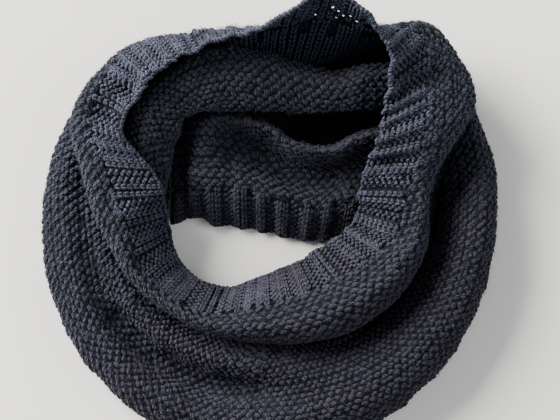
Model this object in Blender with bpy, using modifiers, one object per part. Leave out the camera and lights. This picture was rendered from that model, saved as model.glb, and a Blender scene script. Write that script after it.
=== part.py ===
"""Knitted tube scarf (cowl), slouched into a ring on a flat surface.

The scarf is one tube: a ribbed band at each end and a garter-stitch body between.
It lies with its wall pushed down into folds, so each stretch that shows is a wall
of knitting of its own here, lofted through sections taken round the ring.
Every table below is in millimetres.  Reach is the distance out from the named
middle, height is above the surface, and clock is degrees round from the right.
"""

import math
from collections import namedtuple

import bmesh
import bpy
from mathutils import Vector

MM = 0.001
KNIT_THICKNESS = 5.0 * MM
# Where a seam starts and a rim's short first row ends, as shares of the way from one
# line of the cloth to the next, which lie 8 to 35 mm apart.
SEAM_SHARE = 0.11
RIM_SHARE = 0.03
SECTION_STEPS = 4
# The roll's tuck, from its nose, and the hem's back, from its crest.
TUCK_RUN = 7.0
TUCK_DROP = 11.0
HEM_BACK_RUN = 5.0
HEM_BACK_SHARE = 0.55
# How far the hidden solid keeps inside the walls that cover it.
FLOOR_HOLLOW = 4.5
UNDER_WALL = 11.0
UNDER_CREST = 3.0
INSIDE_SIDE = 12.0
INSIDE_FOOT = 9.0
INNER_BULGE = 2.0
INNER_BULGE_SHARE = 0.4
SIDE_SHARE = 0.5

# Middles that the reaches are measured from: the upper end of the tube leans away.
UPPER_MIDDLE = (-7.0, 29.0)
LOWER_MIDDLE = (-1.0, 1.0)
# The whole scarf is moved so that its box stands over the origin.
CENTRING = (1.40, 1.05)

# Upper end: bound-off edge, foot of the rib, crest of the fold, its brink, and the
# tuck where the cloth turns back under.
UpperSection = namedtuple(
    "UpperSection",
    "clock edge_reach edge_height rib_reach rib_height crest_reach crest_height"
    " brink_reach brink_height tuck_reach tuck_height",
)
UPPER_SECTIONS = [UpperSection(*row) for row in (
    (0.0, 68, 43, 101, 54, 110, 56, 117, 40, 111, 27),
    (22.5, 86, 59, 121, 66, 142, 60, 159, 42, 152, 31),
    (45.0, 124, 83, 149, 60, 158, 48, 157, 36, 146, 29),
    (56.25, 133, 92, 130, 70, 125, 54, 120, 40, 111, 29),
    (67.5, 138, 96, 122, 72, 109, 54, 100, 39, 92, 28),
    (90.0, 106, 89, 108, 62, 101, 47, 96, 35, 90, 27),
    (112.5, 102, 85, 114, 56, 111, 44, 106, 34, 98, 27),
    (135.0, 105, 76, 130, 53, 133, 43, 128, 33, 120, 27),
    (157.5, 104, 60, 127, 56, 136, 52, 140, 42, 135, 31),
    (180.0, 69, 47, 102, 57, 114, 57, 121, 46, 115, 33),
    (202.5, 69, 32, 96, 52, 105, 56, 113, 43, 106, 30),
    (225.0, 77, 22, 97, 48, 103, 54, 110, 39, 102, 27),
    (247.5, 75, 17, 93, 46, 101, 55, 108, 37, 100, 25),
    (270.0, 62, 17, 81, 47, 96, 57, 109, 37, 101, 24),
    (292.5, 57, 18, 79, 46, 98, 58, 115, 37, 106, 24),
    (315.0, 59, 22, 84, 48, 104, 58, 121, 37, 112, 24),
    (337.5, 67, 30, 94, 51, 110, 57, 122, 38, 113, 24),
)]

# Lower body: the hollow under the brink, the middle ridge, the trough outside it,
# the crest of the outer roll, its side, and its foot on the surface.
LowerSection = namedtuple(
    "LowerSection",
    "clock hollow_reach hollow_height ridge_reach ridge_height trough_reach"
    " trough_height crest_reach crest_height side_reach side_height foot_reach",
)
LOWER_SECTIONS = [LowerSection(*row) for row in (
    (0.0, 112, 13, 126, 32, 134, 39, 144, 41, 158, 21, 148),
    (22.5, 126, 14, 136, 22, 144, 27, 152, 30, 165, 20, 155),
    (45.0, 132, 13, 141, 19, 148, 23, 156, 26, 167, 17, 157),
    (67.5, 118, 13, 126, 19, 133, 24, 142, 27, 154, 17, 144),
    (90.0, 104, 13, 112, 19, 120, 23, 129, 27, 140, 16, 130),
    (112.5, 108, 13, 116, 19, 124, 23, 132, 27, 143, 16, 133),
    (135.0, 120, 13, 128, 19, 136, 23, 144, 27, 155, 17, 145),
    (157.5, 122, 14, 132, 22, 140, 27, 148, 31, 160, 20, 150),
    (180.0, 106, 14, 120, 34, 129, 33, 140, 35, 160, 20, 150),
    (202.5, 92, 14, 110, 38, 124, 31, 140, 37, 161, 20, 150),
    (225.0, 84, 14, 106, 39, 120, 25, 139, 40, 161, 20, 150),
    (247.5, 77, 14, 99, 40, 118, 22, 138, 40, 161, 20, 150),
    (270.0, 75, 14, 97, 39, 114, 32, 133, 41, 161, 20, 150),
    (292.5, 82, 14, 108, 38, 120, 40, 134, 41, 159, 20, 148),
    (315.0, 92, 13, 118, 38, 128, 42, 138, 41, 157, 20, 146),
    (337.5, 102, 13, 124, 38, 132, 42, 141, 41, 156, 20, 146),
)]

# Far upper roll: the inner face of the far wall bulging over, from the left, where it
# dives under the upper fold, round to its right end.
RollSection = namedtuple(
    "RollSection",
    "crest_x crest_y crest_height nose_x nose_y nose_height back_run back_drop",
)
FAR_ROLL_SECTIONS = [RollSection(*row) for row in (
    (-94, 33, 28, -74, 24, 18, 6, 6),
    (-98, 50, 38, -71, 37, 25, 8, 10),
    (-96, 68, 48, -68, 50, 33, 8, 12),
    (-88, 84, 56, -63, 63, 40, 8, 12),
    (-74, 99, 62, -58, 75, 46, 8, 12),
    (-56, 112, 66, -48, 79, 49, 7, 12),
    (-33, 118, 66, -31, 79, 49, 6, 12),
    (-7, 114, 63, -7, 79, 49, 7, 12),
    (19, 103, 60, 18, 78, 46, 11, 14),
    (43, 98, 59, 43, 79, 46, 11, 14),
    (67, 104, 58, 67, 81, 43, 9, 13),
    (86, 104, 52, 86, 82, 39, 9, 12),
)]

# Lower far fold and bottom rib band, from the left, where the cloth doubles back in
# a standing edge, to the right, where it runs under the upper fold.
HemSection = namedtuple(
    "HemSection",
    "top_x hem_x crest_y crest_height valley_y valley_height"
    " rib_y rib_height edge_y edge_height",
)
HEM_SECTIONS = [HemSection(*row) for row in (
    (-71, -72, 68, 15, 46, 13, 26, 12, 2, 6),
    (-62, -61, 72, 20, 47, 17, 27, 15, 5, 6),
    (-54, -53, 74, 34, 48, 29, 27, 22, 7, 7),
    (-44, -44, 76, 40, 48, 31, 26, 26, 2, 6),
    (-25, -25, 75, 42, 54, 21, 25, 27, -1, 6),
    (-7, -7, 71, 44, 48, 14, 22, 26, -4, 6),
    (16, 11, 57, 42, 38, 13, 18, 25, -8, 6),
    (40, 29, 53, 43, 34, 14, 14, 23, -11, 6),
    (58, 46, 61, 44, 40, 22, 17, 19, -9, 6),
    (77, 64, 67, 38, 41, 24, 18, 15, -4, 6),
)]

# Hidden layers: where their solid starts, and its mound under the upper fold.
HiddenSection = namedtuple(
    "HiddenSection", "clock inner_reach inner_height mound_reach mound_height"
)
HIDDEN_SECTIONS = [HiddenSection(*row) for row in (
    (0.0, 80, 16, 88, 29),
    (22.5, 88, 16, 102, 30),
    (45.0, 34, 4, 110, 14),
    (67.5, 28, 4, 94, 12),
    (90.0, 26, 4, 88, 12),
    (112.5, 46, 4, 94, 12),
    (135.0, 104, 6, 114, 12),
    (157.5, 78, 3, 110, 9),
    (180.0, 74.5, 16, 92, 30),
    (202.5, 76, 18, 84, 32),
    (225.0, 66, 18, 74, 32),
    (247.5, 54, 18, 65, 32),
    (270.0, 45, 18, 60, 33),
    (292.5, 47, 18, 64, 33),
    (315.0, 57, 18, 74, 34),
    (337.5, 72, 18, 84, 34),
)]

WOOL_BLUE_GREY = (0.045, 0.048, 0.062, 1.0)
WOOL_SHADOW = (0.022, 0.024, 0.032, 1.0)


def remove_all_objects():
    for old in list(bpy.data.objects):
        bpy.data.objects.remove(old, do_unlink=True)


def wool(name, colour):
    material = bpy.data.materials.new(name)
    material.use_nodes = True
    shader = material.node_tree.nodes["Principled BSDF"]
    shader.inputs["Base Color"].default_value = colour
    shader.inputs["Roughness"].default_value = 0.95
    shader.inputs["Metallic"].default_value = 0.0
    return material


def polar(middle, clock, reach, height):
    """A point given by its reach and clock angle round a middle."""
    turn = math.radians(clock)
    x = middle[0] + reach * math.cos(turn) + CENTRING[0]
    y = middle[1] + reach * math.sin(turn) + CENTRING[1]
    return Vector((x, y, height)) * MM


def placed(x, y, height):
    return Vector((x + CENTRING[0], y + CENTRING[1], height)) * MM


def heading(before, here, after, span):
    """How fast a smooth curve leaves the middle point, over a stretch span long."""
    near = (here - before).length
    far = (after - here).length
    speed = (here - before) * (far / near) + (after - here) * (near / far)
    return speed * (span / (near + far))


def smooth_point(points, place, closed):
    """A point on the smooth curve through the given ones; place counts in points."""
    count = len(points)
    first = math.floor(place)
    if not closed:
        first = min(max(first, 0), count - 2)
    share = place - first

    def pick(index):
        if closed:
            return points[index % count]
        if index < 0:
            return points[0] * 2.0 - points[1]
        if index >= count:
            return points[-1] * 2.0 - points[-2]
        return points[index]

    before, start, end, after = (pick(first + step) for step in (-1, 0, 1, 2))
    span = (end - start).length
    rise = heading(before, start, end, span)
    fall = heading(start, end, after, span)
    square = share * share
    cube = square * share
    return (
        start * (2.0 * cube - 3.0 * square + 1.0)
        + rise * (cube - 2.0 * square + share)
        + end * (3.0 * square - 2.0 * cube)
        + fall * (cube - square)
    )


def loft_point(net, along, across, closed):
    """A point of the surface through a net of sections (rows) and lines (columns)."""
    section = [
        smooth_point([row[line] for row in net], along, closed)
        for line in range(len(net[0]))
    ]
    point = smooth_point(section, across, False)
    point.z = max(point.z, 0.0)
    return point


def across_places(start, end, steps):
    """Places across a stretch, with one short step at each end for a true rim."""
    inner = [
        start + RIM_SHARE + (end - start - 2.0 * RIM_SHARE) * step / (steps - 2)
        for step in range(steps - 1)
    ]
    return [start] + inner + [end]


def knit_wall(name, net, closed, span, steps, material, collection):
    """A stretch of knitting: a grid laid on the loft, then given its thickness."""
    along_steps, across_steps = steps
    places = across_places(span[0], span[1], across_steps)
    sheet = bmesh.new()
    bmesh.ops.create_grid(
        sheet, x_segments=along_steps, y_segments=across_steps, size=1.0
    )
    sections = len(net) if closed else len(net) - 1
    for vertex in sheet.verts:
        along = (vertex.co.x + 1.0) * 0.5 * sections
        row = round((vertex.co.y + 1.0) * 0.5 * across_steps)
        vertex.co = loft_point(net, along, places[row], closed)
    if closed:
        bmesh.ops.remove_doubles(sheet, verts=sheet.verts, dist=0.00001)
    bmesh.ops.reverse_faces(sheet, faces=sheet.faces)
    sheet.normal_update()
    mesh = bpy.data.meshes.new(name)
    sheet.to_mesh(mesh)
    sheet.free()
    mesh.materials.append(material)
    wall = bpy.data.objects.new(name, mesh)
    collection.objects.link(wall)
    solidify = wall.modifiers.new("Knit thickness", "SOLIDIFY")
    solidify.thickness = KNIT_THICKNESS
    solidify.offset = -1.0
    mesh.shade_smooth()
    return wall


def upper_net():
    net = []
    for row in UPPER_SECTIONS:
        net.append([
            polar(UPPER_MIDDLE, row.clock, row.edge_reach, row.edge_height),
            polar(UPPER_MIDDLE, row.clock, row.rib_reach, row.rib_height),
            polar(UPPER_MIDDLE, row.clock, row.crest_reach, row.crest_height),
            polar(UPPER_MIDDLE, row.clock, row.brink_reach, row.brink_height),
            polar(UPPER_MIDDLE, row.clock, row.tuck_reach, row.tuck_height),
        ])
    return net


def lower_net():
    net = []
    for row in LOWER_SECTIONS:
        net.append([
            polar(LOWER_MIDDLE, row.clock, row.hollow_reach, row.hollow_height),
            polar(LOWER_MIDDLE, row.clock, row.ridge_reach, row.ridge_height),
            polar(LOWER_MIDDLE, row.clock, row.trough_reach, row.trough_height),
            polar(LOWER_MIDDLE, row.clock, row.crest_reach, row.crest_height),
            polar(LOWER_MIDDLE, row.clock, row.side_reach, row.side_height),
            polar(LOWER_MIDDLE, row.clock, row.foot_reach, 0.0),
        ])
    return net


def far_roll_net():
    """Back, crest, nose and tuck of the roll that bulges from the far wall."""
    net = []
    for row in FAR_ROLL_SECTIONS:
        crest = placed(row.crest_x, row.crest_y, row.crest_height)
        nose = placed(row.nose_x, row.nose_y, row.nose_height)
        outward = Vector((crest.x - nose.x, crest.y - nose.y, 0.0)).normalized()
        back = crest + outward * row.back_run * MM - Vector((0, 0, row.back_drop * MM))
        tuck = nose + outward * TUCK_RUN * MM - Vector((0, 0, TUCK_DROP * MM))
        net.append([back, crest, nose, tuck])
    return net


def hem_net():
    """Back, crest, valley, foot of rib and cast-on edge of the lower far fold."""
    net = []
    for row in HEM_SECTIONS:
        lean = (row.hem_x - row.top_x) / (row.crest_y - row.edge_y)

        def across_x(y, row=row, lean=lean):
            return row.top_x + (row.crest_y - y) * lean

        back_y = row.crest_y + HEM_BACK_RUN
        net.append([
            placed(row.top_x, back_y, row.crest_height * HEM_BACK_SHARE),
            placed(row.top_x, row.crest_y, row.crest_height),
            placed(across_x(row.valley_y), row.valley_y, row.valley_height),
            placed(across_x(row.rib_y), row.rib_y, row.rib_height),
            placed(row.hem_x, row.edge_y, row.edge_height),
        ])
    return net


def hidden_layers(material, collection):
    """One rounded solid for every layer that the outer stretches cover."""
    name = "hidden_layers"
    net = []
    for inside, outside in zip(HIDDEN_SECTIONS, LOWER_SECTIONS):
        inner_foot = inside.inner_reach + INNER_BULGE
        inner_height = inside.inner_height
        under_crest = outside.crest_reach - UNDER_CREST
        heights = (
            (inner_foot, 0.0),
            (inside.inner_reach, inner_height * INNER_BULGE_SHARE),
            (inner_foot, inner_height),
            (inside.mound_reach, inside.mound_height),
            (outside.hollow_reach, FLOOR_HOLLOW),
            (outside.ridge_reach, outside.ridge_height - UNDER_WALL),
            (outside.trough_reach, outside.trough_height - UNDER_WALL),
            (under_crest, outside.crest_height - UNDER_WALL),
            (outside.side_reach - INSIDE_SIDE, outside.side_height * SIDE_SHARE),
            (outside.foot_reach - INSIDE_FOOT, 0.0),
        )
        net.append([
            polar(LOWER_MIDDLE, inside.clock, reach, height) for reach, height in heights
        ])
    lines = len(net[0])
    solid = bmesh.new()
    around = len(net) * SECTION_STEPS
    bmesh.ops.create_grid(solid, x_segments=around, y_segments=lines, size=1.0)
    for vertex in solid.verts:
        along = (vertex.co.x + 1.0) * 0.5 * len(net)
        line = round((vertex.co.y + 1.0) * 0.5 * lines) % lines
        vertex.co = smooth_point([row[line] for row in net], along, True)
    bmesh.ops.remove_doubles(solid, verts=solid.verts, dist=0.00001)
    bmesh.ops.recalc_face_normals(solid, faces=solid.faces)
    mesh = bpy.data.meshes.new(name)
    solid.to_mesh(mesh)
    solid.free()
    mesh.materials.append(material)
    mesh.shade_smooth()
    layers = bpy.data.objects.new(name, mesh)
    collection.objects.link(layers)
    return layers


def build():
    remove_all_objects()
    scarf = bpy.data.collections.new("knitted_tube_scarf")
    bpy.context.scene.collection.children.link(scarf)

    upper = upper_net()
    lower = lower_net()
    hem = hem_net()
    upper_steps = len(upper) * SECTION_STEPS
    lower_steps = len(lower) * SECTION_STEPS
    knit_wall("top_rib_band", upper, True, (0.0, 1.0), (upper_steps, 4),
              wool("top_rib_wool", WOOL_BLUE_GREY), scarf)
    knit_wall("upper_fold", upper, True, (1.0 + SEAM_SHARE, 4.0), (upper_steps, 6),
              wool("upper_fold_wool", WOOL_BLUE_GREY), scarf)
    knit_wall("middle_ridge", lower, True, (0.0, 2.0), (lower_steps, 4),
              wool("middle_ridge_wool", WOOL_BLUE_GREY), scarf)
    knit_wall("outer_roll", lower, True, (2.0 + SEAM_SHARE, 5.0), (lower_steps, 7),
              wool("outer_roll_wool", WOOL_BLUE_GREY), scarf)
    knit_wall("far_upper_roll", far_roll_net(), False, (0.0, 3.0), (24, 7),
              wool("far_roll_wool", WOOL_BLUE_GREY), scarf)
    knit_wall("far_lower_fold", hem, False, (0.0, 3.0), (20, 8),
              wool("far_fold_wool", WOOL_BLUE_GREY), scarf)
    knit_wall("bottom_rib_band", hem, False, (3.0 + SEAM_SHARE, 4.0), (20, 4),
              wool("bottom_rib_wool", WOOL_BLUE_GREY), scarf)
    hidden_layers(wool("hidden_wool", WOOL_SHADOW), scarf)


build()
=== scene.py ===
"""A knitted tube scarf (cowl), slouched into a ring: the look of every stretch of knitting."""

import math

import bpy
import numpy as np
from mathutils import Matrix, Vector


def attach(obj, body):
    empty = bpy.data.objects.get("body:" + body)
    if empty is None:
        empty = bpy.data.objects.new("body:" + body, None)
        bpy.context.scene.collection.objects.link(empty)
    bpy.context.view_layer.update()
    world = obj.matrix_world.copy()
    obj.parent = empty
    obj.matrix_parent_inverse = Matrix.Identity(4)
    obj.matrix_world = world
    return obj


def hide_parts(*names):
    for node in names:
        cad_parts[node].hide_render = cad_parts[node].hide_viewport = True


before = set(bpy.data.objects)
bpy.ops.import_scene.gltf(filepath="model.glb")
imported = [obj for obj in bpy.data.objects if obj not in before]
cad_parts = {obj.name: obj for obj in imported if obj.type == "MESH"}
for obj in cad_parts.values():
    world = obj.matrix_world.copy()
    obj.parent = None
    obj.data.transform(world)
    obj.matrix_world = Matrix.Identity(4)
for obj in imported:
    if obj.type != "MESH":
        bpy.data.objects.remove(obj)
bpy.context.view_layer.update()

# The outer roll, the body of the tube as it lies round on the surface.
# It is worked in garter stitch, so rows of small purl bumps run right round it.
# It is knitted in the round in chunky wool, and nothing but its weight holds it.

MM = 0.001


def table(columns, *rows):
    """A table of sizes in millimetres as a dict of its named columns."""
    return dict(zip(columns.split(), np.array(rows, float).T))


LOWER_MIDDLE = (0.40, 2.05)
lower = table(
    "clock hollow hollow_z ridge ridge_z trough trough_z crest crest_z side side_z foot",
    (0.0, 112, 13, 126, 32, 134, 39, 144, 41, 158, 21, 148),
    (22.5, 126, 14, 136, 22, 144, 27, 152, 30, 165, 20, 155),
    (45.0, 132, 13, 141, 19, 148, 23, 156, 26, 167, 17, 157),
    (67.5, 118, 13, 126, 19, 133, 24, 142, 27, 154, 17, 144),
    (90.0, 104, 13, 112, 19, 120, 23, 129, 27, 140, 16, 130),
    (112.5, 108, 13, 116, 19, 124, 23, 132, 27, 143, 16, 133),
    (135.0, 120, 13, 128, 19, 136, 23, 144, 27, 155, 17, 145),
    (157.5, 122, 14, 132, 22, 140, 27, 148, 31, 160, 20, 150),
    (180.0, 106, 14, 120, 34, 129, 33, 140, 35, 160, 20, 150),
    (202.5, 92, 14, 110, 38, 124, 31, 140, 37, 161, 20, 150),
    (225.0, 84, 14, 106, 39, 120, 25, 139, 40, 161, 20, 150),
    (247.5, 77, 14, 99, 40, 118, 22, 138, 40, 161, 20, 150),
    (270.0, 75, 14, 97, 39, 114, 32, 133, 41, 161, 20, 150),
    (292.5, 82, 14, 108, 38, 120, 40, 134, 41, 159, 20, 148),
    (315.0, 92, 13, 118, 38, 128, 42, 138, 41, 157, 20, 146),
    (337.5, 102, 13, 124, 38, 132, 42, 141, 41, 156, 20, 146),
)


def ring_net(middle, clock, *lines):
    """Points of a ring of sections: each line is its reach and height per section."""
    turn = np.radians(clock)
    columns = []
    for reach, height in lines:
        x = middle[0] + reach * np.cos(turn)
        y = middle[1] + reach * np.sin(turn)
        columns.append(np.stack([x, y, height + 0.0 * x], axis=1))
    return np.stack(columns, axis=1) * MM


def size_of(vectors):
    return np.linalg.norm(vectors, axis=-1, keepdims=True)


def unit(vectors):
    return vectors / np.maximum(size_of(vectors), 1e-12)


def smooth(points, places, closed):
    """Points on the smooth curve through the given ones; places count in points."""
    count = len(points)
    first = np.floor(places).astype(int)
    if closed:
        before, start, end, after = (
            points[(first + step) % count] for step in (-1, 0, 1, 2)
        )
    else:
        first = np.clip(first, 0, count - 2)
        longer = np.concatenate(
            [[2 * points[0] - points[1]], points, [2 * points[-1] - points[-2]]]
        )
        before, start, end, after = (longer[first + step] for step in range(4))
    share = (places - first).reshape([-1] + [1] * (points.ndim - 1))
    span = size_of(end - start)

    def heading(past, here, coming):
        near = size_of(here - past)
        far = size_of(coming - here)
        speed = (here - past) * (far / near) + (coming - here) * (near / far)
        return speed * span / (near + far)

    square = share * share
    cube = square * share
    return (
        start * (2 * cube - 3 * square + 1)
        + heading(before, start, end) * (cube - 2 * square + share)
        + end * (3 * square - 2 * cube)
        + heading(start, end, after) * (cube - square)
    )


class Cloth:
    """A smooth face of knitting through a net of points.

    It is measured by the share of the way along its anchor line, from 0 to 1, and by
    the distance across from that line, so stitches can be set out evenly on it.
    """

    # The grid: rows from one line to the next, a column's width, and the even net's spacing.
    LINE_STEPS = 8
    COLUMN = 2.4 * MM
    STEP = 1.0 * MM
    TRIALS = 1500
    # Troughs pressed in: the places along one, and a start farther off than any cloth.
    PRESS_STEPS = 49
    FAR_OFF = 9.0
    # Shallow waves: how many, the fewest and most round the tube, and what they add up to.
    WAVES = 7
    WAVES_ROUND = (8, 42)
    TUBE_ROUND = 0.9
    SHORTEST_DOWN = 28 * MM
    WAVE_SUM = 2.6

    def __init__(self, net, closed, anchor, clocks=None):
        sections, lines = net.shape[:2]
        self.closed = closed
        self.anchor = anchor * self.LINE_STEPS
        trial = np.linspace(0, sections if closed else sections - 1, self.TRIALS)
        line = smooth(net[:, anchor], trial, closed)
        walk = np.append(0, np.cumsum(size_of(np.diff(line, axis=0))))
        self.length = walk[-1]
        self.columns = round(self.length / self.COLUMN)
        even = np.linspace(0, self.length, self.columns + 1)
        self.places = np.interp(even, walk, trial)
        marks = np.arange(sections) if clocks is None else clocks
        marks = np.append(marks, 360) if closed else marks
        self.clocks = np.interp(self.places, np.arange(len(marks)), marks)
        lofted = [smooth(net[:, k], self.places, closed) for k in range(lines)]
        across = np.linspace(0, lines - 1, (lines - 1) * self.LINE_STEPS + 1)
        self.grid = smooth(np.array(lofted), across, False)
        self.grid[..., 2] = np.maximum(self.grid[..., 2], 0)
        self.settle()

    def settle(self):
        """Works out which way the face looks, and the distances across it."""
        along = np.gradient(self.grid, axis=1)
        if self.closed:
            along[:, 0] = along[:, -1] = self.grid[:, 1] - self.grid[:, -2]
        self.normals = unit(np.cross(np.gradient(self.grid, axis=0), along))
        steps = size_of(np.diff(self.grid, axis=0))[..., 0]
        walk = np.concatenate([np.zeros((1, self.columns + 1)), np.cumsum(steps, axis=0)])
        self.walk = walk - walk[self.anchor]
        self.distances = np.arange(self.walk.min(), self.walk.max() + self.STEP, self.STEP)
        both = np.concatenate([self.grid, self.normals], axis=2)
        self.even = np.array([
            [np.interp(self.distances, self.walk[:, k], both[:, k, axis]) for axis in range(6)]
            for k in range(self.columns + 1)
        ])

    def at(self, share, distance):
        """Points and the way the face looks there."""
        down = np.clip((distance - self.distances[0]) / self.STEP, 0, len(self.distances) - 1.001)
        on = (share % 1.0 if self.closed else np.clip(share, 0, 0.99999)) * self.columns
        i = on.astype(int)
        j = down.astype(int)
        a = (on - i)[:, None]
        b = (down - j)[:, None]
        near = self.even[i, :, j] * (1 - b) + self.even[i, :, j + 1] * b
        far = self.even[i + 1, :, j] * (1 - b) + self.even[i + 1, :, j + 1] * b
        both = near * (1 - a) + far * a
        return both[:, :3], unit(both[:, 3:])

    def distance_of(self, line, share):
        """How far across a line of the net lies, at a share of the way along."""
        row = self.walk[round(line * self.LINE_STEPS)]
        here = share % 1.0 if self.closed else share
        return np.interp(here, np.linspace(0, 1, self.columns + 1), row)

    def press(self, start, end, width, depth):
        """Presses a soft trough along a short line, or lifts a ridge where depth is minus.

        Both ends are a clock angle, or a section of an open piece, and a line of the net.
        """
        steps = np.linspace(0, 1, self.PRESS_STEPS)
        clock = start[0] + (end[0] - start[0]) * steps
        if self.closed:
            clock = clock % 360
        column = np.round(np.interp(clock, self.clocks, np.arange(self.columns + 1)))
        line = np.round((start[1] + (end[1] - start[1]) * steps) * self.LINE_STEPS)
        path = self.grid[line.astype(int), column.astype(int)]
        near = np.full(self.grid.shape[:2], self.FAR_OFF)
        for point in path:
            near = np.minimum(near, size_of(self.grid - point)[..., 0])
        self.sink(np.exp(-((near / (width * MM)) ** 2)) * depth * MM)

    def sink(self, dip):
        """Moves the face in by so much at each place of its grid."""
        self.grid = self.grid - self.normals * dip[..., None]
        self.grid[..., 2] = np.maximum(self.grid[..., 2], 0)
        self.settle()

    def ripple(self, amount, seed):
        """The shallow waves that soft knitting always has, from about 20 to 110 mm long."""
        rng = np.random.default_rng(seed)
        share = np.linspace(0, 1, self.columns + 1)[None]
        waves = 0.0
        for _ in range(self.WAVES):
            turns = rng.integers(*self.WAVES_ROUND) * (self.length / self.TUBE_ROUND)
            turns = round(turns) if self.closed else turns
            down = rng.uniform(-1, 1) * math.tau / self.SHORTEST_DOWN
            shift = rng.uniform(0, 6.3)
            waves = waves + np.sin(math.tau * turns * share + down * self.walk + shift)
        self.sink(waves * amount * MM / self.WAVE_SUM)


def new_piece(name, vertices, faces, uv, material):
    """A mesh object of its own, smooth, with one UV map, and nothing below the surface."""
    vertices = np.column_stack([vertices[:, :2], np.maximum(vertices[:, 2], 0)])
    mesh = bpy.data.meshes.new(name)
    mesh.from_pydata(vertices, [], faces)
    corners = np.empty(len(mesh.loops), int)
    mesh.loops.foreach_get("vertex_index", corners)
    mesh.uv_layers.new(name="yarn").data.foreach_set("uv", uv[corners].ravel())
    mesh.shade_smooth()
    mesh.materials.append(material)
    piece = bpy.data.objects.new(name, mesh)
    bpy.context.scene.collection.objects.link(piece)
    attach(piece, "root")
    return piece


def shell(name, cloth, span, material, depth=1.3, wall=1.8, open_cells=None):
    """The ground of a stretch: a thin closed wall of cloth just under its stitches.

    Open cells are small holes between stitches, drawn in a little from their corners.
    """
    drawn_in = 0.66
    first, last = (round(line * Cloth.LINE_STEPS) for line in span)
    columns = cloth.columns if cloth.closed else cloth.columns + 1
    points = cloth.grid[first:last + 1, :columns].copy()
    looks = cloth.normals[first:last + 1, :columns]
    if open_cells is not None:
        for i, j in zip(*np.nonzero(open_cells)):
            down = np.array([i, i, i + 1, i + 1])
            right = np.array([j, j + 1, j + 1, j]) % columns
            middle = points[down, right].mean(axis=0)
            points[down, right] = middle + (points[down, right] - middle) * drawn_in
    rows = len(points)
    outer = points - looks * depth * MM
    inner = outer - looks * wall * MM
    vertices = np.concatenate([outer.reshape(-1, 3), inner.reshape(-1, 3)])
    share = np.arange(columns) * cloth.length / cloth.columns
    uv = np.stack(np.broadcast_arrays(share[None], cloth.walk[first:last + 1, :columns]), axis=2)
    uv = np.concatenate([uv.reshape(-1, 2)] * 2) / MM
    cells = cloth.columns
    kept = np.ones((rows - 1, cells), bool)
    if open_cells is not None:
        kept &= ~open_cells[:rows - 1, :cells]
    i, j = np.nonzero(kept)
    a = i * columns + j
    b = i * columns + (j + 1) % columns
    c = b + columns
    d = a + columns
    under = rows * columns
    faces = np.stack([a, b, c, d], axis=1)
    walls = [faces[:, ::-1], faces + under]
    edges = ((-1, 0, b, a), (0, 1, c, b), (1, 0, d, c), (0, -1, a, d))
    for down, right, start, end in edges:
        ni = i + down
        nj = j + right
        if cloth.closed:
            nj = nj % cells
        inside = (ni >= 0) & (ni < rows - 1) & (nj >= 0) & (nj < cells)
        bare = ~inside
        bare[inside] = ~kept[ni[inside], nj[inside]]
        s, e = start[bare], end[bare]
        walls.append(np.stack([s, s + under, e + under, e], axis=1)[:, ::-1])
    faces = np.concatenate(walls)
    return new_piece(name, vertices, faces.tolist(), uv, material)


def beads(name, centre, along, side, rise, bend, material, seed):
    """Short lengths of yarn: each is a plump bead that tapers to both ends.

    A ring of the bead is its place from end to end, from -1 to 1, and its share of the girth.
    """
    rings = ((-0.75, 0.58), (-0.28, 0.97), (0.28, 0.97), (0.75, 0.58))
    sides = 6
    turns = np.arange(sides) * math.tau / sides
    x = np.array([-1.0] + [ring[0] for ring in rings for _ in turns] + [1.0])
    c = np.array([0.0] + [ring[1] * math.cos(t) for ring in rings for t in turns] + [0.0])
    s = np.array([0.0] + [ring[1] * math.sin(t) for ring in rings for t in turns] + [0.0])
    shape = x.reshape(1, -1, 1)
    points = (
        centre[:, None] + along[:, None] * shape + bend[:, None] * shape ** 2
        + side[:, None] * c.reshape(1, -1, 1) + rise[:, None] * s.reshape(1, -1, 1)
    )
    count = len(centre)
    each = len(x)
    last = each - 1
    quads, tips = [], []
    for k in range(sides):
        n = (k + 1) % sides
        for ring in range(len(rings) - 1):
            base = 1 + ring * sides
            quads.append((base + k, base + sides + k, base + sides + n, base + n))
        tips.append((0, 1 + k, 1 + n))
        tips.append((last, last - sides + n, last - sides + k))
    start = np.arange(count)[:, None, None] * each
    faces = (np.array(quads)[None] + start).reshape(-1, 4).tolist()
    faces += (np.array(tips)[None] + start).reshape(-1, 3).tolist()
    rng = np.random.default_rng(seed)
    run = x[None] * size_of(along) / MM + rng.uniform(0, 40, (count, 1))
    round_it = np.append(0.0, np.append(np.tile(turns / math.tau, len(rings)), 0.0))
    uv = np.stack(np.broadcast_arrays(run, round_it[None]), axis=2).reshape(-1, 2)
    return new_piece(name, points.reshape(-1, 3), faces, uv, material)


# The knitted wall and one purl bump, in millimetres: a bump's width and its row's height,
# its yarn's half-thickness across and out, and how far it curls and its ends dive.
WALL = 5.0
BUMP_PITCH = 6.2
BUMP_ROW = 3.7
BUMP_SIDE = 1.66
BUMP_LIFT = 1.3
BUMP_CURL = 0.7
BUMP_DIVE = 0.9


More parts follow.
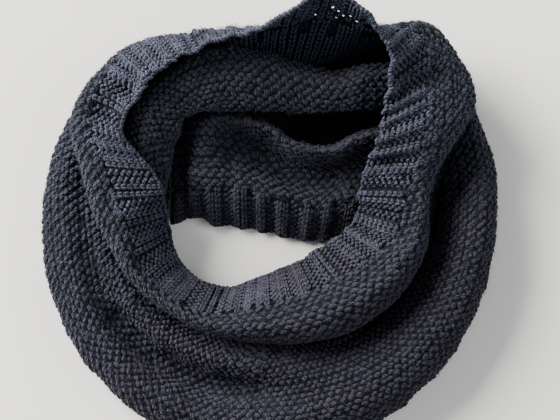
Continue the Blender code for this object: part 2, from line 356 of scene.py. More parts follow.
def garter(name, cloth, span, material, seed, inside=False, sink=1.0, keep=None):
    """Rows of purl bumps, each row set half a stitch on from the last.

    A bump is a short arch of yarn, whose two ends dive back into the cloth.
    """
    rng = np.random.default_rng(seed)
    count = max(2, round(cloth.length / (BUMP_PITCH * MM)))
    low = cloth.walk[round(span[0] * Cloth.LINE_STEPS)].min()
    high = cloth.walk[round(span[1] * Cloth.LINE_STEPS)].max()
    rise = BUMP_ROW * MM
    rows = np.arange(math.floor(low / rise), math.ceil(high / rise) + 1)
    stitch, row = np.meshgrid(np.arange(count), rows)
    stitch, row = stitch.ravel(), row.ravel()
    share = (stitch + 0.5 * (row % 2) + rng.normal(0, 0.07, len(row))) / count
    sway = 0.25 * (np.sin(row * 1.7 + share * 23) + np.sin(row * 0.6 - share * 41))
    paired = 0.14 * (1 - 2 * (row % 2))
    uneven = rng.normal(0, 0.2, len(row))
    distance = (row * BUMP_ROW + paired + sway + uneven) * MM
    inner = cloth.distance_of(span[0], share)
    outer = cloth.distance_of(span[1], share)
    chosen = (distance >= inner) & (distance <= outer) & (share < 1)
    if keep is not None:
        chosen &= keep(share, distance)
    share, distance, row = share[chosen], distance[chosen], row[chosen]
    middle, looks = cloth.at(share, distance)
    reach = 0.45 / count
    ahead = cloth.at(share + reach, distance)[0]
    behind = cloth.at(share - reach, distance)[0]
    along = (ahead - behind) / 2
    number = len(share)
    along = along * rng.normal(1, 0.09, (number, 1))
    up = unit(np.cross(along, looks))
    tilt = rng.normal(0.10, 0.14, (number, 1))
    along = along + up * size_of(along) * tilt
    plump = rng.normal(1, 0.11, (number, 1))
    face = -1.0 if inside else 1.0
    depth = WALL - sink if inside else sink
    centre = middle - looks * (depth + rng.normal(0, 0.12, (number, 1))) * MM
    curl = np.where(row % 2 == 0, 1.0, -1.0)[:, None]
    bend = up * curl * BUMP_CURL * MM - looks * face * BUMP_DIVE * MM
    side = up * face * BUMP_SIDE * MM * plump
    lift = looks * face * BUMP_LIFT * MM * plump
    return beads(name, centre, along, side, lift, bend, material, seed)


class Link:
    """A node's output that takes part in sums."""

    def __init__(self, nodes, socket):
        self.nodes = nodes
        self.socket = socket

    def sum_with(self, operation, first, second):
        return self.nodes.add("ShaderNodeMath", {"operation": operation}, {0: first, 1: second})

    def __add__(self, other):
        return self.sum_with("ADD", self, other)

    def __radd__(self, other):
        return self.sum_with("ADD", other, self)

    def __sub__(self, other):
        return self.sum_with("SUBTRACT", self, other)

    def __rsub__(self, other):
        return self.sum_with("SUBTRACT", other, self)

    def __mul__(self, other):
        return self.sum_with("MULTIPLY", self, other)

    def __rmul__(self, other):
        return self.sum_with("MULTIPLY", other, self)


class Finish:
    """A material under construction."""

    def __init__(self, name):
        self.material = bpy.data.materials.new(name)
        self.material.use_nodes = True
        self.tree = self.material.node_tree
        self.shader = self.tree.nodes["Principled BSDF"]

    def join(self, socket, value):
        if isinstance(value, Link):
            self.tree.links.new(value.socket, socket)
        else:
            socket.default_value = value

    def add(self, kind, settings, sockets, output=0):
        node = self.tree.nodes.new(kind)
        for name, value in settings.items():
            setattr(node, name, value)
        for name, value in sockets.items():
            self.join(node.inputs[name], value)
        return Link(self, node.outputs[output])

    def set(self, **sockets):
        for name, value in sockets.items():
            self.join(self.shader.inputs[name.replace("_", " ")], value)

    def noise(self, place, scale, detail):
        sockets = {"Vector": place, "Scale": scale, "Detail": detail}
        return self.add("ShaderNodeTexNoise", {}, sockets)

    def bump(self, strength, distance, height):
        sockets = {"Strength": strength, "Distance": distance, "Height": height}
        return self.add("ShaderNodeBump", {}, sockets)

    def wave(self, value):
        return self.add("ShaderNodeMath", {"operation": "SINE"}, {0: value})

    def blend(self, share, first, second):
        return self.add(
            "ShaderNodeMix", {"data_type": "RGBA"}, {0: share, 6: first, 7: second}, 2
        )


def wool(name, deep, pale, warm):
    """Twisted wool yarn: plies along each stitch, a fuzzy bloom, and an uneven tint.

    The tint is bluer at the far side of the ring and more purple towards the near side:
    painted light colour, made uneven by a random tone.
    """
    finish = Finish(name)
    place = finish.add("ShaderNodeTexCoord", {}, {}, "Object")
    run = finish.add("ShaderNodeUVMap", {"uv_map": "yarn"}, {})
    length = finish.add("ShaderNodeSeparateXYZ", {}, {0: run}, 0)
    turn = finish.add("ShaderNodeSeparateXYZ", {}, {0: run}, 1)
    across = finish.add("ShaderNodeSeparateXYZ", {}, {0: place}, 0)
    far = finish.add("ShaderNodeSeparateXYZ", {}, {0: place}, 1)
    # Painted shade: the ply stripes darken the grooves between plies; the fibre and stitch noise is
    # random tone.
    plies = finish.wave(length * 2.6 + turn * 12.57) * 0.5 + 0.5
    fibres = finish.noise(place, 950.0, 4.0)
    stitches = finish.noise(place, 190.0, 1.0)
    dye = finish.noise(place, 17.0, 2.0)
    light = plies * 0.6 + fibres * 2.0 + stitches * 1.4 - 1.5
    # Painted light colour: bluer towards the far side of the ring, more purple towards the near
    # side.
    near = across * 2.0 - far * 6.0 + dye * 1.6 - 0.3
    tint = finish.blend(near, pale, warm)
    finish.set(
        Base_Color=finish.blend(light, deep, tint),
        Roughness=0.92 - fibres * 0.14,
        Normal=finish.bump(0.9, 0.0008, plies * 0.8 + fibres * 1.0),
        Specular_IOR_Level=0.18, Sheen_Weight=0.12, Sheen_Roughness=0.55,
        Sheen_Tint=(0.55, 0.54, 0.72, 1),
    )
    return finish.material


def ground(name, deep, pale):
    """The cloth behind the stitches: wool painted near black as the shade between them, its
    pressed-in loops painted paler.
    """
    finish = Finish(name)
    place = finish.add("ShaderNodeTexCoord", {}, {}, "Object")
    run = finish.add("ShaderNodeUVMap", {"uv_map": "yarn"}, {})
    along = finish.add("ShaderNodeSeparateXYZ", {}, {0: run}, 0)
    down = finish.add("ShaderNodeSeparateXYZ", {}, {0: run}, 1)
    rows = finish.wave(down * (math.tau / 7.4))
    loops = finish.wave(along * (math.tau / 6.3))
    fibres = finish.noise(place, 1500.0, 3.0)
    knit = rows * loops * 0.5 + 0.5
    finish.set(
        Base_Color=finish.blend(knit * 0.6 + fibres * 0.5 - 0.1, deep, pale),
        Roughness=0.97 - fibres * 0.1,
        Normal=finish.bump(0.8, 0.0012, knit + fibres * 0.3),
        Specular_IOR_Level=0.1,
    )
    return finish.material


cool_wool = wool(
    "cool_grey_wool", (0.0035, 0.0045, 0.008, 1), (0.033, 0.040, 0.062, 1), (0.030, 0.025, 0.038, 1)
)
# Painted shade: the ground is near black for the shade that falls between the stitches.
shaded_ground = ground("painted_shade_in_the_gaps", (0.002, 0.0023, 0.004, 1), (0.012, 0.013, 0.020, 1))

# One loose fibre, in millimetres: its least and greatest length and half-thickness.
FIBRE_LENGTHS = (2.0, 7.0)
FIBRE_RADII = (0.05, 0.095)
FIBRE_ROOT = 0.4
FIBRE_POINTS = 7


def bloom(name, cloth, span, count, material, seed):
    """Loose fibres that stand off a stretch: fine tapering hairs, curling as they go."""
    rng = np.random.default_rng(seed)
    share = rng.random(count)
    inner = cloth.distance_of(span[0], share)
    outer = cloth.distance_of(span[1], share)
    distance = inner + (outer - inner) * rng.random(count)
    root, looks = cloth.at(share, distance)
    round_it = unit(cloth.at(share + 0.002, distance)[0] - root)
    across = np.cross(looks, round_it)
    heading = rng.uniform(0, math.tau, (count, 1))
    flat = round_it * np.cos(heading) + across * np.sin(heading)
    stand = rng.uniform(0.05, 0.9, (count, 1))
    way = unit(flat + looks * stand)
    curl = unit(np.cross(way, looks)) * rng.normal(0, 0.5, (count, 1)) - looks * 0.25
    length = rng.uniform(*FIBRE_LENGTHS, (count, 1)) * MM
    root = root - looks * FIBRE_ROOT * MM
    thick = rng.uniform(*FIBRE_RADII, (count, 1)) * MM
    across = unit(np.cross(way, looks + 0.01))
    upward = np.cross(way, across)
    rings = []
    for on, width in ((0.0, 1.0), (0.45, 0.9)):
        middle = root + way * length * on + curl * length * on ** 2 * 0.6
        for turn in range(3):
            a = turn * math.tau / 3
            rings.append(middle + (across * math.cos(a) + upward * math.sin(a)) * thick * width)
    rings.append(root + way * length + curl * length * 0.6)
    points = np.stack(rings, axis=1)
    start = np.arange(count)[:, None, None] * FIBRE_POINTS
    tris = [(0, 2, 1), (3, 4, 6), (4, 5, 6), (5, 3, 6)]
    quads = [(0, 1, 4, 3), (1, 2, 5, 4), (2, 0, 3, 5)]
    faces = (np.array(quads)[None] + start).reshape(-1, 4).tolist()
    faces += (np.array(tris)[None] + start).reshape(-1, 3).tolist()
    uv = np.zeros((count * FIBRE_POINTS, 2))
    return new_piece(name, points.reshape(-1, 3), faces, uv, material)


def hair(name, colour):
    """A single wool fibre, paler than the yarn because light comes through it."""
    finish = Finish(name)
    place = finish.add("ShaderNodeTexCoord", {}, {}, "Object")
    tone = finish.noise(place, 60.0, 1.0)
    darker = tuple(part * 0.5 for part in colour[:3]) + (1,)
    finish.set(
        Base_Color=finish.blend(tone, darker, colour), Roughness=0.8 - tone * 0.2,
        Specular_IOR_Level=0.3,
    )
    return finish.material


fibre = hair("loose_wool_fibre", (0.075, 0.08, 0.105, 1))

lower_net = ring_net(
    LOWER_MIDDLE, lower["clock"],
    (lower["hollow"], lower["hollow_z"]), (lower["ridge"], lower["ridge_z"]),
    (lower["trough"], lower["trough_z"]), (lower["crest"], lower["crest_z"]),
    (lower["side"], lower["side_z"]), (lower["foot"], 0.0),
)
body = Cloth(lower_net, True, 3, lower["clock"])
body.press((188, 2.35), (212, 2.1), 7, 2)
body.press((212, 2.1), (264, 2.0), 7, 5)
body.press((22, 4.0), (50, 3.8), 9, 2)
body.press((95, 4.1), (126, 3.9), 8, 2.5)
body.press((280, 3.4), (315, 3.9), 9, 1.6)
body.ripple(0.45, 21)
roll_shell = shell("outer_roll_cloth", body, (2, 5), shaded_ground)
roll_stitches = garter("outer_roll_stitches", body, (2, 5), cool_wool, 1)
roll_fibres = bloom("outer_roll_fibres", body, (2, 4.8), 7400, fibre, 41)
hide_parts("outer_roll")

# The middle ridge, where the same cloth turns down again inside the outer roll.
# It is garter stitch in the same wool, half hidden under the upper fold.
# The weight of that fold pushes it down and holds it in the ring.

ridge_shell = shell("middle_ridge_cloth", body, (0, 2), shaded_ground)
ridge_stitches = garter("middle_ridge_stitches", body, (0.3, 2), cool_wool, 2)
ridge_fibres = bloom("middle_ridge_fibres", body, (0.3, 2), 800, fibre, 42)
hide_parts("middle_ridge")

# The hidden layers, cloth doubled up inside the ring that shows only in its gaps.
# They are the same garter stitch, so the dark hollows still show rows of loops.

hidden = table(
    "clock inner inner_z mound mound_z",
    (0.0, 80, 16, 88, 29),
    (22.5, 88, 16, 102, 30),
    (45.0, 34, 4, 110, 14),
    (67.5, 28, 4, 94, 12),
    (90.0, 26, 4, 88, 12),
    (112.5, 46, 4, 94, 12),
    (135.0, 104, 6, 114, 12),
    (157.5, 78, 3, 110, 9),
    (180.0, 74.5, 16, 92, 30),
    (202.5, 76, 18, 84, 32),
    (225.0, 66, 18, 74, 32),
    (247.5, 54, 18, 65, 32),
    (270.0, 45, 18, 60, 33),
    (292.5, 47, 18, 64, 33),
    (315.0, 57, 18, 74, 34),
    (337.5, 72, 18, 84, 34),
)
hidden_net = ring_net(
    LOWER_MIDDLE, hidden["clock"],
    (hidden["inner"] + 2, 0.0), (hidden["inner"], hidden["inner_z"] * 0.4),
    (hidden["inner"] + 2, hidden["inner_z"]), (hidden["mound"], hidden["mound_z"]),
)
layers = Cloth(hidden_net, True, 2)
# Painted shade: a darker, warmer copy of the wool for the cloth inside the ring.
shaded_warm_wool = wool(
    "shaded_warm_grey_wool", (0.003, 0.0035, 0.006, 1), (0.027, 0.028, 0.044, 1), (0.031, 0.027, 0.041, 1)
)


NEAR_MIDDLE = 0.79


def near_side(share, distance):
    """All but the far side, which other stretches cover."""
    return np.cos((share - NEAR_MIDDLE) * math.tau) > -0.35


layer_stitches = garter(
    "hidden_layer_stitches", layers, (0.4, 2.9), shaded_warm_wool, 3, sink=-0.4, keep=near_side
)


def plain_knit(name, deep, pale):
    """Knitting seen only in deep shade, painted near black for that shade: rows of loops pressed in
    it.
    """
    finish = Finish(name)
    place = finish.add("ShaderNodeTexCoord", {}, {}, "Object")
    knit = finish.noise(place, 210.0, 1.0)
    fibres = finish.noise(place, 1500.0, 3.0)
    finish.set(
        Base_Color=finish.blend(knit * 0.7 + fibres * 0.5 - 0.1, deep, pale),
        Roughness=0.97 - fibres * 0.1,
        Normal=finish.bump(0.9, 0.0015, knit + fibres * 0.3),
        Specular_IOR_Level=0.1,
    )
    return finish.material


# Painted shade: the hidden layers' wool is painted near black.
shaded_wool = plain_knit("shaded_wool", (0.002, 0.0025, 0.004, 1), (0.010, 0.011, 0.016, 1))
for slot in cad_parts["hidden_layers"].material_slots:
    slot.material = shaded_wool

# The bottom rib band, the first rows of the tube, where they show across the hole.
# It is two knit columns and two purl columns by turns, in the same wool.
# Its rows begin at the cast-on edge, and the far cloth goes on up from it in one piece.

hem = table(
    "top_x hem_x crest_y crest_z valley_y valley_z rib_y rib_z edge_y edge_z",
    (-71, -72, 68, 15, 46, 13, 26, 12, 2, 6),
    (-62, -61, 72, 20, 47, 17, 27, 15, 5, 6),
    (-54, -53, 74, 34, 48, 29, 27, 22, 7, 7),
    (-44, -44, 76, 40, 48, 31, 26, 26, 2, 6),
    (-25, -25, 75, 42, 54, 21, 25, 27, -1, 6),
    (-7, -7, 71, 44, 48, 14, 22, 26, -4, 6),
    (16, 11, 57, 42, 38, 13, 18, 25, -8, 6),
    (40, 29, 53, 43, 34, 14, 14, 23, -11, 6),
    (58, 46, 61, 44, 40, 22, 17, 19, -9, 6),
    (77, 64, 67, 38, 41, 24, 18, 15, -4, 6),
)
SHIFT = np.array([1.40, 1.05, 0.0])
lean = (hem["hem_x"] - hem["top_x"]) / (hem["crest_y"] - hem["edge_y"])


def hem_line(y, z):
    """One line of the far cloth: each section leans over as it comes down."""
    return np.stack([hem["top_x"] + (hem["crest_y"] - y) * lean, y, z], axis=1)


hem_net = np.stack([
    np.stack([hem["top_x"], hem["crest_y"] + 5, hem["crest_z"] * 0.55], axis=1),
    hem_line(hem["crest_y"], hem["crest_z"]),
    hem_line(hem["valley_y"], hem["valley_z"]),
    hem_line(hem["rib_y"], hem["rib_z"]),
    hem_line(hem["edge_y"], hem["edge_z"]),
], axis=1)
hem_net = (hem_net + SHIFT) * MM


def gathered(share):
    """Where a rib column really lies: some are bunched together, others spread."""
    return (
        share + 0.010 * np.sin(math.tau * 3 * share + 1) + 0.005 * np.sin(math.tau * 8 * share)
        + 0.003 * np.sin(math.tau * 13 * share + 2)
    )


def rib_relief(cloth, repeat, fade_lines, clocks, depths):
    """Corrugates a band: its knit columns stand up and its purl columns sink in.

    The ribs are full as far as the first fade line and gone at the second.
    """
    count = round(cloth.length / (repeat * MM))
    shares = np.linspace(0, 1, cloth.columns + 1)
    even = np.interp(shares, gathered(shares), shares)
    wave = np.cos(math.tau * (even * count - 0.25))
    depth = np.interp(cloth.clocks, clocks, depths)
    line = np.arange(len(cloth.grid)) / Cloth.LINE_STEPS
    full, gone = fade_lines
    fade = np.clip((gone - line) / (gone - full), 0, 1)
    cloth.sink(fade[:, None] * (0.5 - wave * depth)[None] * MM)


# Ribbing in millimetres: one repeat of four columns, the height of a loop, and the
# half-thickness of the yarn across a knit loop, across a purl bump, and out of the cloth.
RIB_REPEAT = 16.7
LOOP_HEIGHT = 4.3
LOOP_SIDE = 1.05
PURL_SIDE = 1.3
YARN_LIFT = 1.15


def ribs(name, cloth, span, material, seed, inside=False, repeat=RIB_REPEAT,
         height=LOOP_HEIGHT, keep=None, thin=None, plain=False):
    """Two knit columns of paired slanting loops, then two sunk purl columns, by turns.

    Plain knitting has knit columns only. A thin place brings both faces to mid-wall.
    """
    rng = np.random.default_rng(seed)
    count = 4 * round(cloth.length / (repeat * MM))
    low = cloth.walk[round(span[0] * Cloth.LINE_STEPS)].min()
    high = cloth.walk[round(span[1] * Cloth.LINE_STEPS)].max()
    rise = height * MM
    rows = np.arange(math.floor(low / rise), math.ceil(high / rise) + 1)
    stitch, row = (part.ravel() for part in np.meshgrid(np.arange(count), rows))
    raised = plain | ((stitch % 4 < 2) != inside)
    share = gathered((stitch + 0.5) / count)
    distance = row * height * MM + rng.normal(0, 0.16, len(row)) * MM
    chosen = distance >= cloth.distance_of(span[0], share)
    chosen &= distance <= cloth.distance_of(span[1], share)
    if keep is not None:
        chosen &= keep(share, distance)
    share, distance, raised = share[chosen], distance[chosen], raised[chosen]
    face = -1.0 if inside else 1.0

    def depth_at(shares, outside_depth, inside_depth):
        depth = inside_depth if inside else outside_depth
        if thin is not None:
            depth = depth + (WALL / 2 - depth) * 0.55 * thin(shares)[:, None]
        return depth

    parts = []
    for lean in (-1, 1):
        s, d = share[raised], distance[raised]
        foot = cloth.at(s + lean * 0.09 / count, d + 0.54 * height * MM)
        head = cloth.at(s + lean * 0.42 / count, d - 0.54 * height * MM)
        looks = unit(foot[1] + head[1])
        depth = depth_at(s, 0.7, 4.4)
        along = (head[0] - foot[0]) / 2
        side = unit(np.cross(along, looks)) * LOOP_SIDE * MM
        parts.append((
            (foot[0] + head[0]) / 2 - looks * depth * MM, along, side * face,
            looks * face * YARN_LIFT * MM, -looks * face * 0.5 * MM,
        ))
    for half in (0, 1):
        s = share[~raised] + half * 0.5 / count
        d = distance[~raised] + half * 0.5 * height * MM
        middle, looks = cloth.at(s, d)
        along = (cloth.at(s + 0.45 / count, d)[0] - cloth.at(s - 0.45 / count, d)[0]) / 2
        up = unit(np.cross(along, looks))
        depth = depth_at(s, 1.0, 4.1)
        parts.append((
            middle - looks * depth * MM, along, up * face * PURL_SIDE * MM,
            looks * face * YARN_LIFT * MM,
            up * (0.4 - 0.8 * half) * MM - looks * face * 0.4 * MM,
        ))
    centre, along, side, lift, bend = (np.concatenate(group) for group in zip(*parts))
    along = along * rng.normal(1, 0.07, (len(along), 1))
    return beads(name, centre, along, side, lift, bend, material, seed)


far_cloth = Cloth(hem_net, False, 3)
far_cloth.press((3.6, 1.6), (7.4, 2.2), 9, 4)
far_cloth.press((2.4, 2.5), (5.6, 2.85), 7, -3)
far_cloth.ripple(0.45, 22)
rib_relief(far_cloth, RIB_REPEAT, (3.0, 2.7), (0, 5, 9), (1.7, 1.5, 0.9))
hem_shell = shell("bottom_rib_cloth", far_cloth, (3, 4), shaded_ground)
hem_stitches = ribs("bottom_rib_stitches", far_cloth, (3, 4), shaded_warm_wool, 4)
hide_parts("bottom_rib_band")


CHAIN_LINK = 3.4
CHAIN_GIRTH = 1.3


def edge_chain(name, cloth, line, outward, material, seed):
    """The finished edge: a chain of slanting loops laid along it like a rope.

    Outward is 1 where the edge is the last line of the net, and -1 where it is the first.
    """
    rng = np.random.default_rng(seed)
    shares = np.linspace(0, 1, cloth.columns + 1)
    row = round(line * Cloth.LINE_STEPS)
    walk = np.append(0, np.cumsum(size_of(np.diff(cloth.grid[row], axis=0))))
    count = round(walk[-1] / (CHAIN_LINK * MM))
    share = np.interp((np.arange(count) + 0.5) * walk[-1] / count, walk, shares)
    distance = cloth.distance_of(line, share)
    middle, looks = cloth.at(share, distance)
    within = cloth.at(share, distance - outward * 1.5 * MM)[0]
    out = unit(middle - within)
    ahead, behind = (
        cloth.at(share + shift, cloth.distance_of(line, share + shift))[0]
        for shift in (0.004, -0.004)
    )
    step = unit(ahead - behind)
    centre = middle - looks * 2.3 * MM + out * rng.normal(0.5, 0.15, (count, 1)) * MM
    along = (step * 2.6 + looks * 1.5 * rng.normal(1, 0.15, (count, 1))) * MM
    side = unit(np.cross(along, out)) * CHAIN_GIRTH * MM
    lift = unit(np.cross(side, along)) * CHAIN_GIRTH * MM
    return beads(name, centre, along, side, lift, -out * 0.4 * MM, material, seed)


hem_edge = edge_chain("cast_on_edge", far_cloth, 4, 1, shaded_warm_wool, 5)

# The lower far fold, the body of the tube just above the bottom rib band.
# It is the same wool in garter stitch, knitted on from the band.
# It stands up behind the hole and sags in a slanting valley under its own weight.

fold_shell = shell("far_lower_fold_cloth", far_cloth, (0, 3), shaded_ground)
fold_stitches = garter("far_lower_fold_stitches", far_cloth, (0, 3), shaded_warm_wool, 6)
fold_fibres = bloom("far_fold_fibres", far_cloth, (0.6, 4), 1700, fibre, 44)
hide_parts("far_lower_fold")

# The far upper roll, where the inside of the far wall bulges out above that fold.
# It is garter stitch in the same wool, and the cloth behind it pushes it forward.
# It turns under at its nose, and the dark gap below it is the space between two folds.

roll = table(
    "crest_x crest_y crest_z nose_x nose_y nose_z back_run back_drop",
    (-94, 33, 28, -74, 24, 18, 6, 6),
    (-98, 50, 38, -71, 37, 25, 8, 10),
    (-96, 68, 48, -68, 50, 33, 8, 12),
    (-88, 84, 56, -63, 63, 40, 8, 12),
    (-74, 99, 62, -58, 75, 46, 8, 12),
    (-56, 112, 66, -48, 79, 49, 7, 12),
    (-33, 118, 66, -31, 79, 49, 6, 12),
    (-7, 114, 63, -7, 79, 49, 7, 12),
    (19, 103, 60, 18, 78, 46, 11, 14),
    (43, 98, 59, 43, 79, 46, 11, 14),
    (67, 104, 58, 67, 81, 43, 9, 13),
    (86, 104, 52, 86, 82, 39, 9, 12),
)
crest = np.stack([roll["crest_x"], roll["crest_y"], roll["crest_z"]], axis=1)
nose = np.stack([roll["nose_x"], roll["nose_y"], roll["nose_z"]], axis=1)
away = unit((crest - nose) * [1, 1, 0])
drop = np.array([0, 0, 1.0])
far_net = np.stack([
    crest + away * roll["back_run"][:, None] - drop * roll["back_drop"][:, None],
    crest, nose, nose + away * 7 - drop * 11,
], axis=1)
far_net = (far_net + SHIFT) * MM
far_roll = Cloth(far_net, False, 1)
far_roll.press((1.6, 1.6), (4.4, 1.5), 7, 1.5)
far_roll.ripple(0.45, 23)
far_shell = shell("far_upper_roll_cloth", far_roll, (0, 3), shaded_ground)
far_stitches = garter("far_upper_roll_stitches", far_roll, (0, 3), shaded_warm_wool, 7)
far_fibres = bloom("far_roll_fibres", far_roll, (0.6, 3), 1500, fibre, 45)
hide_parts("far_upper_roll")

# The upper fold, where the cloth turns over just outside the top rib and dives under.
# It is garter stitch in the same wool. On the far side it stands up as the wall under
# the rim, pulled out so thin there that light comes between its stitches.

UPPER_MIDDLE = (-5.60, 30.05)
upper = table(
    "clock edge edge_z rib rib_z crest crest_z brink brink_z tuck tuck_z",
    (0.0, 68, 43, 101, 54, 110, 56, 117, 40, 111, 27),
    (22.5, 86, 59, 121, 66, 142, 60, 159, 42, 152, 31),
    (45.0, 124, 83, 149, 60, 158, 48, 157, 36, 146, 29),
    (56.25, 133, 92, 130, 70, 125, 54, 120, 40, 111, 29),
    (67.5, 138, 96, 122, 72, 109, 54, 100, 39, 92, 28),
    (90.0, 106, 89, 108, 62, 101, 47, 96, 35, 90, 27),
    (112.5, 102, 85, 114, 56, 111, 44, 106, 34, 98, 27),
    (135.0, 105, 76, 130, 53, 133, 43, 128, 33, 120, 27),
    (157.5, 104, 60, 127, 56, 136, 52, 140, 42, 135, 31),
    (180.0, 69, 47, 102, 57, 114, 57, 121, 46, 115, 33),
    (202.5, 69, 32, 96, 52, 105, 56, 113, 43, 106, 30),
    (225.0, 77, 22, 97, 48, 103, 54, 110, 39, 102, 27),
    (247.5, 75, 17, 93, 46, 101, 55, 108, 37, 100, 25),
    (270.0, 62, 17, 81, 47, 96, 57, 109, 37, 101, 24),
    (292.5, 57, 18, 79, 46, 98, 58, 115, 37, 106, 24),
    (315.0, 59, 22, 84, 48, 104, 58, 121, 37, 112, 24),
    (337.5, 67, 30, 94, 51, 110, 57, 122, 38, 113, 24),
)
upper_net = ring_net(
    UPPER_MIDDLE, upper["clock"],
    (upper["edge"], upper["edge_z"]), (upper["rib"], upper["rib_z"]),
    (upper["crest"], upper["crest_z"]), (upper["brink"], upper["brink_z"]),
    (upper["tuck"], upper["tuck_z"]),
)
top = Cloth(upper_net, True, 1, upper["clock"])
top.press((144, 0.25), (156, 0.7), 9, 7)
top.press((34, 0.3), (31, 1.4), 7, 4)
top.press((20, 0.3), (16, 1.3), 8, -3)
top.press((9, 0.1), (3, 0.9), 6, 4)
top.press((-6, 0.2), (-12, 1.1), 7, -2.5)
top.press((-20, 0.1), (-26, 1.0), 6, 3.5)
top.press((186, 0.3), (194, 1.1), 7, -2)
top.press((206, 0.2), (214, 1.1), 7, 2)
top.press((4, 1.3), (20, 2.3), 8, -3)
top.press((-20, 1.3), (4, 2.1), 8, 3.5)
top.press((182, 1.2), (198, 2.3), 8, 2.5)
top.press((275, 1.6), (306, 2.1), 9, 1.5)
top.ripple(0.45, 24)
rib_depths = table(
    "clock depth",
    (0, 2.1), (30, 1.5), (60, 0.4), (90, 0.5), (105, 1.2), (130, 1.3), (145, 0.8),
    (158, 0.2), (185, 0.2), (215, 0.1), (260, 0.0), (290, 0.2), (325, 1.3), (360, 2.1),
)
rib_relief(top, RIB_REPEAT, (0.85, 1.2), rib_depths["clock"], rib_depths["depth"])
shade_wool = wool(
    "shaded_side_wool", (0.003, 0.005, 0.010, 1), (0.026, 0.040, 0.068, 1), (0.026, 0.040, 0.066, 1)
)


THIN_FROM = 36
THIN_TO = 124


def thinned(share):
    """How far the far side of the wall is pulled out thin, from 0 to 1."""
    clock = np.interp(share % 1, np.linspace(0, 1, top.columns + 1), top.clocks)
    return np.clip((clock - THIN_FROM) / 8, 0, 1) * np.clip((THIN_TO - clock) / 10, 0, 1)


def pulled_open(first_line, last_line, seed):
    """Cells of the far wall's ground that are pulled open, never two together."""
    rng = np.random.default_rng(seed)
    row, column = np.meshgrid(
        np.arange(first_line * Cloth.LINE_STEPS, last_line * Cloth.LINE_STEPS),
        np.arange(top.columns), indexing="ij",
    )
    line = row / Cloth.LINE_STEPS
    chance = np.clip((line - 0.2) * 4, 0, 1) * np.clip((2.2 - line) * 2, 0, 1)
    stagger = (column % 2 == 0) & ((row + column // 2) % 2 == 0)
    far = thinned((column + 0.5) / top.columns) > 0.5
    return far & stagger & (rng.random(row.shape) < chance)


band_holes = pulled_open(0, 1, 31)
wall_holes = pulled_open(1, 4, 32)
hole_row, hole_column = np.nonzero(np.concatenate([band_holes, wall_holes]))
hole_share = (hole_column + 0.5) / top.columns
hole_distance = (top.walk[hole_row, hole_column] + top.walk[hole_row + 1, hole_column]) / 2
hole_at = top.at(hole_share, hole_distance)[0]


def clear_of_holes(share, distance):
    """Where a stitch leaves the small holes open."""
    place = top.at(share, distance)[0]
    near = np.full(len(place), 1.0)
    for spot in hole_at:
        near = np.minimum(near, size_of(place - spot)[:, 0])
    return near > 1.1 * MM


def far_wall(share, distance):
    """The inside of the wall where it is pulled out thin."""
    return (thinned(share) > 0.5) & clear_of_holes(share, distance)


def near_walls(share, distance):
    """The inside of the wall everywhere else."""
    return thinned(share) <= 0.5


upper_shell = shell("upper_fold_cloth", top, (1, 4), shaded_ground, open_cells=wall_holes)
upper_stitches = garter("upper_fold_stitches", top, (1, 4), cool_wool, 8, keep=clear_of_holes)
upper_inside = garter(
    "upper_fold_inside_stitches", top, (1, 3), shaded_warm_wool, 9, inside=True, keep=near_walls
)
far_columns = ribs(
    "far_wall_knit_columns", top, (1, 3.9), shade_wool, 13, inside=True,
    repeat=20, height=4.6, keep=far_wall, plain=True,
)
upper_fibres = bloom("upper_fold_fibres", top, (1, 3.2), 3900, fibre, 43)
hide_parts("upper_fold")

# The turn under the upper fold on the far side, where its cloth doubles back to the ring.
# It is the same cloth going on, a short dark strip that shows only from low down.
# Its foot follows the nearest line of the ring.

TURN_CLOCKS = np.linspace(-40, 235, 70)
turn_columns = np.interp(TURN_CLOCKS % 360, top.clocks, np.arange(top.columns + 1))
turn_top = top.grid[-1, np.round(turn_columns).astype(int)]
below = body.grid[:5 * Cloth.LINE_STEPS].reshape(-1, 3)
turn_foot = np.array([below[np.argmin(size_of(below - spot)[:, 0])] for spot in turn_top])
# The foot is evened out twice, because cloth doesn't follow every small step of the ring.
for _ in range(2):
    longer = np.concatenate([turn_foot[:1], turn_foot, turn_foot[-1:]])
    turn_foot = (longer[:-2] + longer[1:-1] * 2 + longer[2:]) / 4
tuck_in = np.array([0, 0, 1.5 * MM])
turn_top = turn_top + tuck_in
turn_foot = turn_foot - tuck_in
turn = Cloth(np.stack([turn_top, (turn_top + turn_foot) / 2, turn_foot], axis=1), False, 1)


def lower_far_side(share, distance):
    """The length of the strip that can be seen under the fold."""
    return (share > 0.13) & (share < 0.72)


turn_shell = shell("turned_under_cloth", turn, (0, 2), shaded_ground, depth=0.6)
turn_stitches = garter(
    "turned_under_stitches", turn, (0, 2), shade_wool, 14, sink=0.6, keep=lower_far_side
)
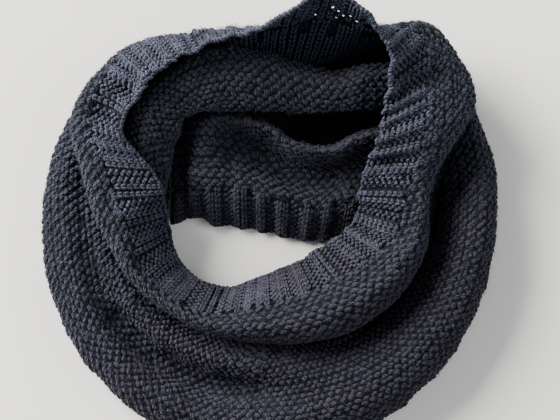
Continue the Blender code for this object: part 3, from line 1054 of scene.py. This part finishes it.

# The top rib band, which stands up round the opening and leans out at the far side.
# It is two knit columns and two purl columns by turns, in the same wool, drawn in a little.
# Its stitches are bound off in a chain that makes the rim.

# Painted light: a paler copy of the wool for the band on top, where the window falls.
lit_rib_wool = wool(
    "cool_grey_rib_wool",
    (0.008, 0.009, 0.015, 1), (0.064, 0.072, 0.108, 1), (0.044, 0.037, 0.055, 1),
)
band_shell = shell(
    "top_rib_cloth", top, (0, 1), shaded_ground, depth=2.1, wall=0.8, open_cells=band_holes
)
band_outside = ribs(
    "top_rib_outside_stitches", top, (0, 1), lit_rib_wool, 10, keep=clear_of_holes, thin=thinned
)
band_inside = ribs(
    "top_rib_inside_stitches", top, (0, 1), shade_wool, 11, inside=True,
    keep=clear_of_holes, thin=thinned,
)
rim = edge_chain("bound_off_edge", top, 0, -1, lit_rib_wool, 12)
band_fibres = bloom("top_rib_fibres", top, (0, 1), 2800, fibre, 46)
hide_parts("top_rib_band")

# The surface it lies on, a wide pale matt board that nothing is fixed to.
# A big soft window lights it from the far left, and a pale wall on the right fills the
# shadows a little. The view is from straight above.

bpy.ops.object.select_all(action="DESELECT")
bpy.ops.mesh.primitive_plane_add(size=6.0)
floor = bpy.context.object
floor.name = "floor"
paper = Finish("pale_surface")
paper.set(Base_Color=(0.85, 0.83, 0.785, 1), Roughness=0.7)
floor.data.materials.append(paper.material)

world = bpy.data.worlds.new("soft_room")
world.use_nodes = True
world.node_tree.nodes["Background"].inputs[0].default_value = (0.90, 0.94, 1.0, 1)
world.node_tree.nodes["Background"].inputs[1].default_value = 0.38
bpy.context.scene.world = world


def area_light(name, energy, colour, place):
    """A square light, 1.8 m wide, that faces the scarf."""
    light = bpy.data.lights.new(name, "AREA")
    light.size = 1.8
    light.energy = energy
    light.color = colour
    holder = bpy.data.objects.new(name, light)
    holder.location = place
    holder.rotation_euler = (-Vector(place)).to_track_quat("-Z", "Y").to_euler()
    bpy.context.scene.collection.objects.link(holder)


area_light("window", 405.0, (1.0, 0.985, 0.955), (-2.05, 1.5, 1.35))
area_light("pale_wall", 42.0, (0.95, 0.97, 1.0), (2.2, -0.3, 1.5))

camera = bpy.data.cameras.new("camera")
camera.sensor_width = 36.0
camera.lens = 108.65
camera_at = bpy.data.objects.new("camera", camera)
camera_at.location = (0.00705, 0.01305, 1.2)
bpy.context.scene.collection.objects.link(camera_at)
bpy.context.scene.camera = camera_at
